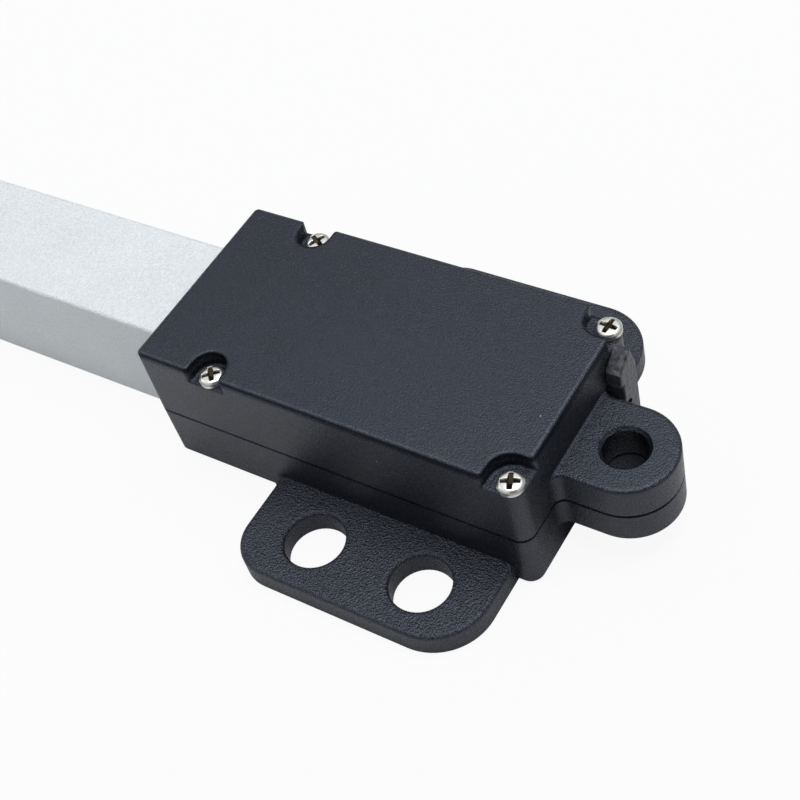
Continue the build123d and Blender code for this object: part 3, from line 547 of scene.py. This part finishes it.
def makeHousingPlastic(settings):
    material, tree, shader, place = newMaterial("blackMouldedPlastic")
    cover = useGroup(
        tree, grainGroup, place, Size=settings["coverGrain"], Pits=settings["coverPits"]
    )
    foot = useGroup(
        tree, grainGroup, place, Size=settings["footGrain"], Pits=settings["footPits"]
    )
    x, y, z = splitVector(tree, place)
    sideways = mathNode(tree, "ABSOLUTE", y)

    footFrom, footBelow, fade = settings["footFrom"], settings["footBelow"], settings["footFade"]
    beyond = mapRange(tree, sideways, footFrom, footFrom + fade)
    below = mapRange(tree, z, footBelow + fade, footBelow)
    onFoot = mathNode(tree, "MULTIPLY", beyond, below)

    coverHeight = mathNode(tree, "MULTIPLY", cover["Height"], settings["coverDepth"])
    footHeight = mathNode(tree, "MULTIPLY", foot["Height"], settings["footDepth"])
    height = mixNode(tree, "FLOAT", onFoot, coverHeight, footHeight)
    nearRoot = mapRange(tree, sideways, *settings["rootBand"])
    atRoot = mathNode(tree, "MULTIPLY", nearRoot, mapRange(tree, z, *settings["rootBelow"]))
    fromGroove = mathNode(tree, "ABSOLUTE", mathNode(tree, "ADD", z, settings["grooveMiddle"]))
    atGroove = mapRange(tree, fromGroove, *settings["grooveBand"])
    xSquare, ySquare = (mathNode(tree, "MULTIPLY", value, value) for value in (x, y))
    fromHole = mathNode(tree, "SQRT", mathNode(tree, "ADD", xSquare, ySquare))
    atHole = mathNode(tree, "LESS_THAN", fromHole, settings["holeEdge"])
    sharp = mathNode(tree, "MAXIMUM", mathNode(tree, "MAXIMUM", atRoot, atGroove), atHole)
    # both heights are in metres already, so the bump's distance is 1
    addBump(tree, shader, height, 1.0, settings["edgeRound"], sharp)

    wearAndHighlight = useGroup(
        tree,
        wearAndHighlightGroup,
        place,
        Centre=settings["edgeCentre"],
        Half=settings["edgeHalf"],
        Width=settings["edgeWidth"],
        Inset=settings["rimInset"],
        Line=settings["rimWidth"],
    )
    dust = useGroup(
        tree, speckGroup, place, Spacing=settings["dustSpacing"], Radius=settings["dustRadius"]
    )
    pale = mixColor(tree, onFoot, settings["paleColor"], settings["footPale"])
    tone = mixNode(tree, "FLOAT", onFoot, cover["Tone"], foot["Tone"])
    color = mixColor(tree, tone, settings["color"], pale)
    edges = mathNode(tree, "MULTIPLY", wearAndHighlight["Mask"], settings["edgeShare"])
    color = mixColor(tree, edges, color, settings["edgeColor"])
    # painted highlight: a pale line along the cover's rim
    color = mixColor(tree, wearAndHighlight["RimHighlight"], color, settings["rimHighlightColor"])
    color = mixColor(tree, dust["Mask"], color, settings["dustColor"])

    # painted shade: the groove between the halves and a band just below the cover's top edge turn
    # black
    facing = splitVector(tree, addNode(tree, "ShaderNodeTexCoord").outputs["Normal"])
    leaning = mathNode(tree, "ABSOLUTE", facing[2])
    upright = mathNode(tree, "LESS_THAN", leaning, settings["uprightBelow"])
    onGroove = mathNode(tree, "LESS_THAN", fromGroove, settings["grooveHalf"])
    inGroove = mathNode(tree, "MULTIPLY", onGroove, upright)
    belowTop = mathNode(tree, "SUBTRACT", settings["bendTop"], z)
    bendStart = mapRange(tree, belowTop, *settings["bendStart"])
    bendEnd = mapRange(tree, belowTop, *settings["bendEnd"])
    onBend = mathNode(tree, "MULTIPLY", bendStart, bendEnd)
    dimmed = mathNode(tree, "MULTIPLY", onBend, settings["bendShare"])
    unlit = mathNode(tree, "MAXIMUM", inGroove, dimmed)
    color = mixColor(tree, unlit, color, settings["paintedShadeColor"])

    link(tree, color, shader.inputs["Base Color"])
    # the painted shade also sets Metallic there, which takes away the plastic's reflection
    link(tree, unlit, shader.inputs["Metallic"])
    rough = mapRange(tree, cover["Tone"], 0.0, 1.0, *settings["roughness"])
    link(tree, rough, shader.inputs["Roughness"])
    shader.inputs["IOR"].default_value = settings["ior"]
    shader.inputs["Specular Tint"].default_value = (*settings["specularTint"], 1)
    return material


# tube: bead-blasted, clear anodised aluminium with faint drawing lines

tubeFinish = {
    "color": (0.915, 0.94, 0.945),
    "shadeColor": (0.735, 0.765, 0.775),
    "wornColor": (0.89, 0.90, 0.90),
    "wornWidth": 0.00022,
    "wornShare": 0.25,
    "metallic": 0.15,
    "roughness": (0.34, 0.48),
    "grain": 0.00020,
    "pits": 0.5,
    "depth": 0.000090,
    "drawing": (120, 5200, 5200),
    "drawingShare": 0.05,
}


def boxOf(name):
    low, high = (np.array(corner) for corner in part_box(name))
    return tuple((low + high) / 2), tuple((high - low) / 2)


def makeTubeAluminium(settings):
    material, tree, shader, place = newMaterial("blastedAluminium")
    grain = useGroup(tree, grainGroup, place, Size=settings["grain"], Pits=settings["pits"])
    lines = useGroup(tree, brushGroup, place, Stretch=settings["drawing"])
    centre, half = boxOf("outer_tube")
    wearAndHighlight = useGroup(
        tree, wearAndHighlightGroup, place, Centre=centre, Half=half, Width=settings["wornWidth"]
    )
    color = mixColor(tree, grain["Tone"], settings["shadeColor"], settings["color"])
    edges = mathNode(tree, "MULTIPLY", wearAndHighlight["Mask"], settings["wornShare"])
    color = mixColor(tree, edges, color, settings["wornColor"])
    link(tree, color, shader.inputs["Base Color"])
    rough = mapRange(tree, lines["Tone"], 0.0, 1.0, *settings["roughness"])
    link(tree, rough, shader.inputs["Roughness"])
    shader.inputs["Metallic"].default_value = settings["metallic"]
    drawn = mathNode(tree, "MULTIPLY", lines["Height"], settings["drawingShare"])
    height = mathNode(tree, "ADD", grain["Height"], drawn)
    addBump(tree, shader, height, settings["depth"])
    return material


# plain metals: brushed or turned, one set of numbers for each

metalGrain = {
    "size": 0.0012,
    "pits": 0.2,
    "shade": 0.3,
    "range": (0.2, 0.8),
}

metalFinishes = {
    "brightNickel": {
        "color": (0.95, 0.93, 0.89), "shade": (0.82, 0.79, 0.71), "roughness": (0.28, 0.36),
        "stretch": (5000, 5000, 1500), "depth": 0.000002, "recessShade": (0.020, 0.016, 0.010),
    },
    "groundSteel": {
        "color": (0.66, 0.66, 0.67), "shade": (0.52, 0.52, 0.53), "roughness": (0.25, 0.29),
        "stretch": (6000, 300, 300), "depth": 0.0000002,
    },
    "platedCan": {
        "color": (0.62, 0.62, 0.61), "shade": (0.48, 0.48, 0.47), "roughness": (0.31, 0.38),
        "stretch": (400, 7000, 7000), "depth": 0.000003,
    },
    "cutBrass": {
        "color": (0.80, 0.62, 0.30), "shade": (0.62, 0.45, 0.19), "roughness": (0.27, 0.33),
        "stretch": (11000, 700, 700), "depth": 0.000002,
    },
    "sinteredBronze": {
        "color": (0.60, 0.42, 0.25), "shade": (0.42, 0.28, 0.16), "roughness": (0.38, 0.58),
        "stretch": (5000, 5000, 5000), "depth": 0.000005,
    },
    "tinnedBrass": {
        "color": (0.80, 0.77, 0.68), "shade": (0.62, 0.56, 0.44), "roughness": (0.30, 0.38),
        "stretch": (500, 6000, 6000), "depth": 0.000002,
    },
    "turnedAluminium": {
        "color": (0.80, 0.81, 0.82), "shade": (0.66, 0.67, 0.69), "roughness": (0.30, 0.37),
        "stretch": (7000, 350, 350), "depth": 0.0000010,
    },
}


def makeMetal(name, settings, grainSettings):
    material, tree, shader, place = newMaterial(name)
    marks = useGroup(tree, brushGroup, place, Stretch=settings["stretch"])
    grain = useGroup(
        tree, grainGroup, place, Size=grainSettings["size"], Pits=grainSettings["pits"]
    )
    color = mixColor(tree, marks["Tone"], settings["shade"], settings["color"])
    shaded = mathNode(tree, "MULTIPLY", grain["Tone"], grainSettings["shade"])
    color = mixColor(tree, shaded, color, settings["shade"])
    if "recessShade" in settings:  # painted shade in the cross recess of a screw
        recess = addNode(tree, "ShaderNodeAttribute", attribute_name="recess")
        color = mixColor(tree, recess.outputs["Fac"], color, settings["recessShade"])
    link(tree, color, shader.inputs["Base Color"])
    rough = mapRange(tree, grain["Tone"], *grainSettings["range"], *settings["roughness"])
    link(tree, rough, shader.inputs["Roughness"])
    shader.inputs["Metallic"].default_value = 1.0
    addBump(tree, shader, marks["Height"], settings["depth"])
    return material


# moulded plastics and rubbers inside and at the ends

mouldedFinishes = {
    "grommetRubber": {
        "color": (0.020, 0.020, 0.024), "pale": (0.125, 0.125, 0.140),
        "roughness": (0.28, 0.46), "grain": 0.00050, "depth": 0.00006, "pits": 1.4,
    },
    "wiperRubber": {
        "color": (0.012, 0.012, 0.012), "pale": (0.030, 0.030, 0.030),
        "roughness": (0.5, 0.7), "grain": 0.0002, "depth": 0.00001, "pits": 0.3,
    },
    "capPlastic": {
        "color": (0.0035, 0.0036, 0.0060), "pale": (0.0150, 0.0150, 0.0215),
        "roughness": (0.38, 0.56), "grain": 0.00026, "depth": 0.00005, "pits": 0.3,
    },
    "darkPlastic": {
        "color": (0.020, 0.020, 0.021), "pale": (0.040, 0.040, 0.040),
        "roughness": (0.36, 0.52), "grain": 0.00025, "depth": 0.000006, "pits": 0.2,
    },
    "paleAcetal": {
        "color": (0.70, 0.68, 0.62), "pale": (0.80, 0.79, 0.74),
        "roughness": (0.30, 0.46), "grain": 0.0003, "depth": 0.000005, "pits": 0.2,
    },
    "diodeCase": {
        "color": (0.015, 0.015, 0.016), "pale": (0.035, 0.035, 0.036),
        "roughness": (0.22, 0.34), "grain": 0.0002, "depth": 0.000004, "pits": 0.2,
    },
}


def makeMoulded(name, settings):
    material, tree, shader, place = newMaterial(name)
    grain = useGroup(tree, grainGroup, place, Size=settings["grain"], Pits=settings["pits"])
    color = mixColor(tree, grain["Tone"], settings["color"], settings["pale"])
    link(tree, color, shader.inputs["Base Color"])
    rough = mapRange(tree, grain["Tone"], 0.0, 1.0, *settings["roughness"])
    link(tree, rough, shader.inputs["Roughness"])
    addBump(tree, shader, grain["Height"], settings["depth"])
    return material


# circuit board: green mask over copper tracks that run along the tube

boardFinish = {
    "mask": (0.010, 0.085, 0.040),
    "track": (0.020, 0.160, 0.070),
    "trackPitch": 0.0009,
    "trackEdge": (0.24, 0.18),  # shares of the pitch, from the track's middle
    "roughness": (0.22, 0.36),
    "grain": 0.0005,
    "pits": 0.2,
    "shade": 0.3,
    "relief": 0.00003,
}


def makeBoard(settings):
    material, tree, shader, place = newMaterial("greenBoard")
    sideways = splitVector(tree, place)[1]
    pitches = mathNode(tree, "DIVIDE", sideways, settings["trackPitch"])
    fromMiddle = mathNode(tree, "SUBTRACT", mathNode(tree, "FRACT", pitches), 0.5)
    track = mapRange(tree, mathNode(tree, "ABSOLUTE", fromMiddle), *settings["trackEdge"])
    grain = useGroup(tree, grainGroup, place, Size=settings["grain"], Pits=settings["pits"])
    color = mixColor(tree, track, settings["mask"], settings["track"])
    shaded = mathNode(tree, "MULTIPLY", grain["Tone"], settings["shade"])
    color = mixColor(tree, shaded, color, settings["mask"])
    link(tree, color, shader.inputs["Base Color"])
    rough = mapRange(tree, grain["Tone"], 0.0, 1.0, *settings["roughness"])
    link(tree, rough, shader.inputs["Roughness"])
    addBump(tree, shader, track, settings["relief"])
    return material


finishes = {
    "blackPlastic": makeHousingPlastic(housingFinish),
    "tubeAluminium": makeTubeAluminium(tubeFinish),
}
for finishName, values in metalFinishes.items():
    finishes[finishName] = makeMetal(finishName, values, metalGrain)
for finishName, values in mouldedFinishes.items():
    finishes[finishName] = makeMoulded(finishName, values)
finishes["greenBoard"] = makeBoard(boardFinish)

nodeFinishes = {
    "blackPlastic": ["upper_shell", "lower_shell"],
    "capPlastic": ["front_cap"],
    "tubeAluminium": ["outer_tube"],
    "brightNickel": ["cover_screws", "cap_screws"],
    "grommetRubber": ["cable_grommet"],
    "wiperRubber": ["rod_wiper"],
    "platedCan": ["motor_can"],
    "darkPlastic": ["motor_end_cap", "rear_switch", "front_switch"],
    "tinnedBrass": ["motor_terminals"],
    "groundSteel": [
        "motor_shaft", "idler_pins", "output_shaft", "grub_screws", "thrust_washer",
        "bearing_inner_ring", "bearing_outer_ring", "bearing_balls", "lead_screw", "push_rod",
        "rod_end_pin",
    ],
    "cutBrass": [
        "motor_pinion", "gearbox_rear_plate", "gearbox_front_plate", "gearbox_posts",
        "idler_gear_2", "output_gear", "drive_nut",
    ],
    "sinteredBronze": ["output_bush"],
    "paleAcetal": [
        "idler_gear_1", "bearing_block", "nut_carrier", "rear_switch_lever", "front_switch_lever",
    ],
    "turnedAluminium": ["shaft_coupling", "rod_end"],
    "greenBoard": ["limit_board"],
    "diodeCase": ["diodes"],
}


def dressNodes(table):
    for finish, names in table.items():
        for name in names:
            for slot in nodes[name].material_slots:
                slot.material = finishes[finish]


dressNodes(nodeFinishes)
print("finishes applied:", len(finishes))


# new surfaces


# rings are closed loops of points, stacked along the first axis; a point closes each end
def ringSurface(rings, startPoint, endPoint, firstIndex=0):
    rows, around = rings.shape[:2]
    points = np.concatenate([rings.reshape(-1, 3), [startPoint], [endPoint]])
    row = np.arange(rows - 1)[:, None] * around
    here = np.arange(around)[None, :]
    following = (here + 1) % around
    above = row + around
    quads = np.stack([row + here, row + following, above + following, above + here], -1)
    quads = quads.reshape(-1, 4) + firstIndex
    last = (rows - 1) * around
    startTip = np.full(around, rows * around)
    endTip = startTip + 1
    startFan = np.stack([startTip, following[0], here[0]], -1) + firstIndex
    endFan = np.stack([endTip, last + here[0], last + following[0]], -1) + firstIndex
    return points, quads.tolist() + startFan.tolist() + endFan.tolist()


def makePiece(name, points, faces, finish, body, replaced):
    mesh = bpy.data.meshes.new(name)
    mesh.from_pydata(points.tolist(), [], faces)
    mesh.polygons.foreach_set("use_smooth", np.ones(len(faces), dtype=bool))
    mesh.update()
    piece = bpy.data.objects.new(name, mesh)
    scene.collection.objects.link(piece)
    mesh.materials.append(finish)
    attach(piece, body)
    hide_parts(replaced)
    return piece


def smoothStep(value, low, high):
    share = np.clip((value - low) / (high - low), 0, 1)
    return share * share * (3 - 2 * share)


# cover and cap screws: pan head with a cross recess, over a threaded shank, in millimetres

coverScrew = {
    # x, y and turn of the cross in degrees
    "places": [(5.55, 8.9, 23), (5.55, -8.9, -4), (36.3, 8.9, 41), (36.3, -8.9, 62)],
    "seat": 6.3,
    "headRadius": 1.2,
    "headHeight": 0.8,
    "rimHeight": 0.50,
    "shankRadius": 0.6,
    "shankLength": 9.0,
    "threadPitch": 0.5,
    "threadDepth": 0.12,
    "armHalfWidth": 0.25,
    "armLength": 0.84,
    "recessDepth": (0.20, 0.32),  # everywhere in the cross, and more at the axis
}

capScrew = {
    "seat": 6.0,
    "headRadius": 1.1,
    "headHeight": 0.5,
    "rimHeight": 0.25,
    "shankRadius": 0.6,
    "shankLength": 2.2,
    "threadPitch": 0.4,
    "threadDepth": 0.1,
    "armHalfWidth": 0.15,
    "armLength": 0.65,
    "recessDepth": (0.10, 0.24),
}

screwForm = {
    "around": 120,
    "shankRings": 14,  # for each millimetre
    "fewestRings": 12,
    "tipLength": 0.8,
    "tipShare": 0.35,  # of the radius, at the very tip
    "sideHeights": (0.0, 0.0, 0.12, 0.5, 1.0),  # shares of the rim's height
    "sideRadii": (0.6, 0.97, 1.0, 1.0, 1.0),  # shares of the head's radius
    "domeRings": 70,
    "domeStart": 0.02,
    "domeSpread": 0.9,  # below 1, the rings crowd towards the axis
    "domeFlatness": 6,
    "axisGap": 0.004,
    "armTaper": 0.25,
    "armEdge": 0.02,
}


# a screw standing on +Z with its seat at 0: radius and height follow one profile parameter, the
# shank's radius is cut by a helix, the dome falls by a power of the radius, and the top drops
# inside the cross by a depth that falls with the distance from the axis
def screwRings(settings, form):
    headRadius, rimHeight = settings["headRadius"], settings["rimHeight"]
    shankLength, armLength = settings["shankLength"], settings["armLength"]
    around = form["around"]
    turn = np.linspace(0, 2 * np.pi, around, endpoint=False)

    shankCount = max(form["fewestRings"], int(shankLength * form["shankRings"]))
    shankHeights = np.linspace(-shankLength, 0, shankCount)
    phase = (shankHeights[:, None] / settings["threadPitch"] - turn[None, :] / (2 * np.pi)) % 1.0
    ridge = np.abs(phase - 0.5) * 2
    tip = smoothStep(shankHeights, -shankLength, -shankLength + form["tipLength"])[:, None]
    shank = settings["shankRadius"] - settings["threadDepth"] * ridge
    shank = shank * (form["tipShare"] + (1 - form["tipShare"]) * tip)

    sideRadius = headRadius * np.array(form["sideRadii"])
    sideHeight = rimHeight * np.array(form["sideHeights"])
    domeShare = np.linspace(form["domeStart"], 1.0, form["domeRings"])
    domeRadius = headRadius * np.cos(domeShare * np.pi / 2) ** form["domeSpread"] + form["axisGap"]
    rise = settings["headHeight"] - rimHeight
    domeHeight = rimHeight + rise * (1 - (domeRadius / headRadius) ** form["domeFlatness"])

    headProfile = np.concatenate([sideRadius, domeRadius])[:, None]
    radius = np.concatenate([shank, np.repeat(headProfile, around, 1)])
    flatHeight = np.concatenate([shankHeights, sideHeight, domeHeight])
    x = radius * np.cos(turn)
    y = radius * np.sin(turn)
    narrow = np.minimum(np.abs(x), np.abs(y))
    wide = np.maximum(np.abs(x), np.abs(y))
    arm = settings["armHalfWidth"] * (1 - form["armTaper"] * wide / armLength)
    edge = form["armEdge"]
    inside = 1 - smoothStep(narrow, arm - edge, arm + edge)
    inside = inside * (1 - smoothStep(wide, armLength - edge, armLength + edge))
    shallow, deep = settings["recessDepth"]
    drop = inside * (shallow + deep * np.clip(1 - wide / armLength, 0, 1))
    onTop = np.arange(len(flatHeight))[:, None] >= shankCount + len(sideHeight)
    height = np.repeat(flatHeight[:, None], around, 1) - np.where(onTop, drop, 0)

    rings = np.stack([x, y, height], -1)
    top = (0.0, 0.0, settings["headHeight"] - shallow - deep)
    # painted shade: the recess mask, kept for each point
    recessShade = np.concatenate([np.where(onTop, inside, 0.0).ravel(), [0.0, 1.0]])
    return rings, (0.0, 0.0, -shankLength), top, recessShade


# each stand is a turn and a place; the painted shade in the recess is kept point by point, so that
# the finish can be darker there
def makeScrewSet(name, replaced, settings, stands):
    *shapes, recessShade = screwRings(settings, screwForm)
    allPoints, allFaces, count = [], [], 0
    for turn, place in stands:
        rings, start, end = (
            (np.asarray(shape) @ turn.T + place) * millimetre for shape in shapes
        )
        points, faces = ringSurface(rings, start, end, count)
        allPoints.append(points)
        allFaces += faces
        count += len(points)
    piece = makePiece(
        name,
        np.concatenate(allPoints),
        allFaces,
        finishes["brightNickel"],
        "housing",
        replaced,
    )
    layer = piece.data.attributes.new("recess", "FLOAT", "POINT")
    layer.data.foreach_set("value", np.tile(recessShade, len(stands)).astype(np.float32))


def makeCoverScrews(settings):
    stands = []
    for x, y, degrees in settings["places"]:
        cosine, sine = math.cos(math.radians(degrees)), math.sin(math.radians(degrees))
        turn = np.array([[cosine, -sine, 0], [sine, cosine, 0], [0, 0, 1]])
        stands.append((turn, np.array([x, y, settings["seat"]])))
    makeScrewSet("coverScrewSet", "cover_screws", settings, stands)


# the cap's screws stand sideways, one on each side, at the middle of the CAD pair
def makeCapScrews(settings):
    centre = boxOf("cap_screws")[0]
    x, z = centre[0] / millimetre, centre[2] / millimetre
    stands = []
    for side in (-1, 1):
        turn = np.array([[1, 0, 0], [0, 0, side], [0, -side, 0]], dtype=float)
        stands.append((turn, np.array([x, side * settings["seat"], z])))
    makeScrewSet("capScrewSet", "cap_screws", settings, stands)


makeCoverScrews(coverScrew)
makeCapScrews(capScrew)
print("screws made")


# lead screw: plain ends and a right-hand trapezium thread, in millimetres

leadThread = {
    "pitch": 1.0,
    "crest": 1.95,
    "root": 1.50,
    "flankTop": 2.0,  # the ridge's wave is cut off at 0 and 1, which leaves a trapezium
    "flankSlope": 4.5,
    "journal": (1.5, 37.2),  # radius, and where it starts
    "seat": (2.0, 40.9),
    "collar": (2.275, 43.9),
    "thread": (44.5, 103.3),
    "runIn": 0.8,
    "runOut": 0.6,
    "stepGap": 0.01,
    "axisHeight": -0.3,
    "ringsPerPitch": 10,
    "around": 40,
}


# radius along X is a step function for the plain ends; on the thread it is a trapezium wave of
# x / pitch minus the turn, so that the ridge climbs towards +X as the angle grows
def makeLeadScrew(settings):
    start, stop = settings["thread"]
    around, axisHeight = settings["around"], settings["axisHeight"]
    steps = [settings["journal"], settings["seat"], settings["collar"]]
    stepEnds = [stepStart for _, stepStart in steps[1:]] + [start]
    places, radii = [], []
    for (radius, stepStart), stepEnd in zip(steps, stepEnds):
        places += [stepStart, stepEnd - settings["stepGap"]]
        radii += [radius, radius]

    count = int((stop - start) / settings["pitch"] * settings["ringsPerPitch"])
    along = np.linspace(start, stop, count)
    turn = np.linspace(0, 2 * np.pi, around, endpoint=False)
    phase = (along[:, None] / settings["pitch"] - turn[None, :] / (2 * np.pi)) % 1.0
    wave = settings["flankTop"] - settings["flankSlope"] * np.abs(phase - 0.5)
    runOut = 1 - smoothStep(along, stop - settings["runOut"], stop)
    fade = smoothStep(along, start, start + settings["runIn"]) * runOut
    ridge = np.clip(wave, 0, 1) * fade[:, None]
    thread = settings["root"] + (settings["crest"] - settings["root"]) * ridge

    radius = np.concatenate([np.repeat(np.array(radii)[:, None], around, 1), thread])
    x = np.concatenate([places, along])
    y = radius * np.cos(turn)
    z = radius * np.sin(turn) + axisHeight
    rings = np.stack([np.repeat(x[:, None], around, 1), y, z], -1) * millimetre
    ends = [(value * millimetre, 0.0, axisHeight * millimetre) for value in (x[0], x[-1])]
    points, faces = ringSurface(rings, ends[0], ends[1])
    steel = finishes["groundSteel"]
    makePiece("threadedLeadScrew", points, faces, steel, "screw", "lead_screw")


makeLeadScrew(leadThread)
print("lead screw made")
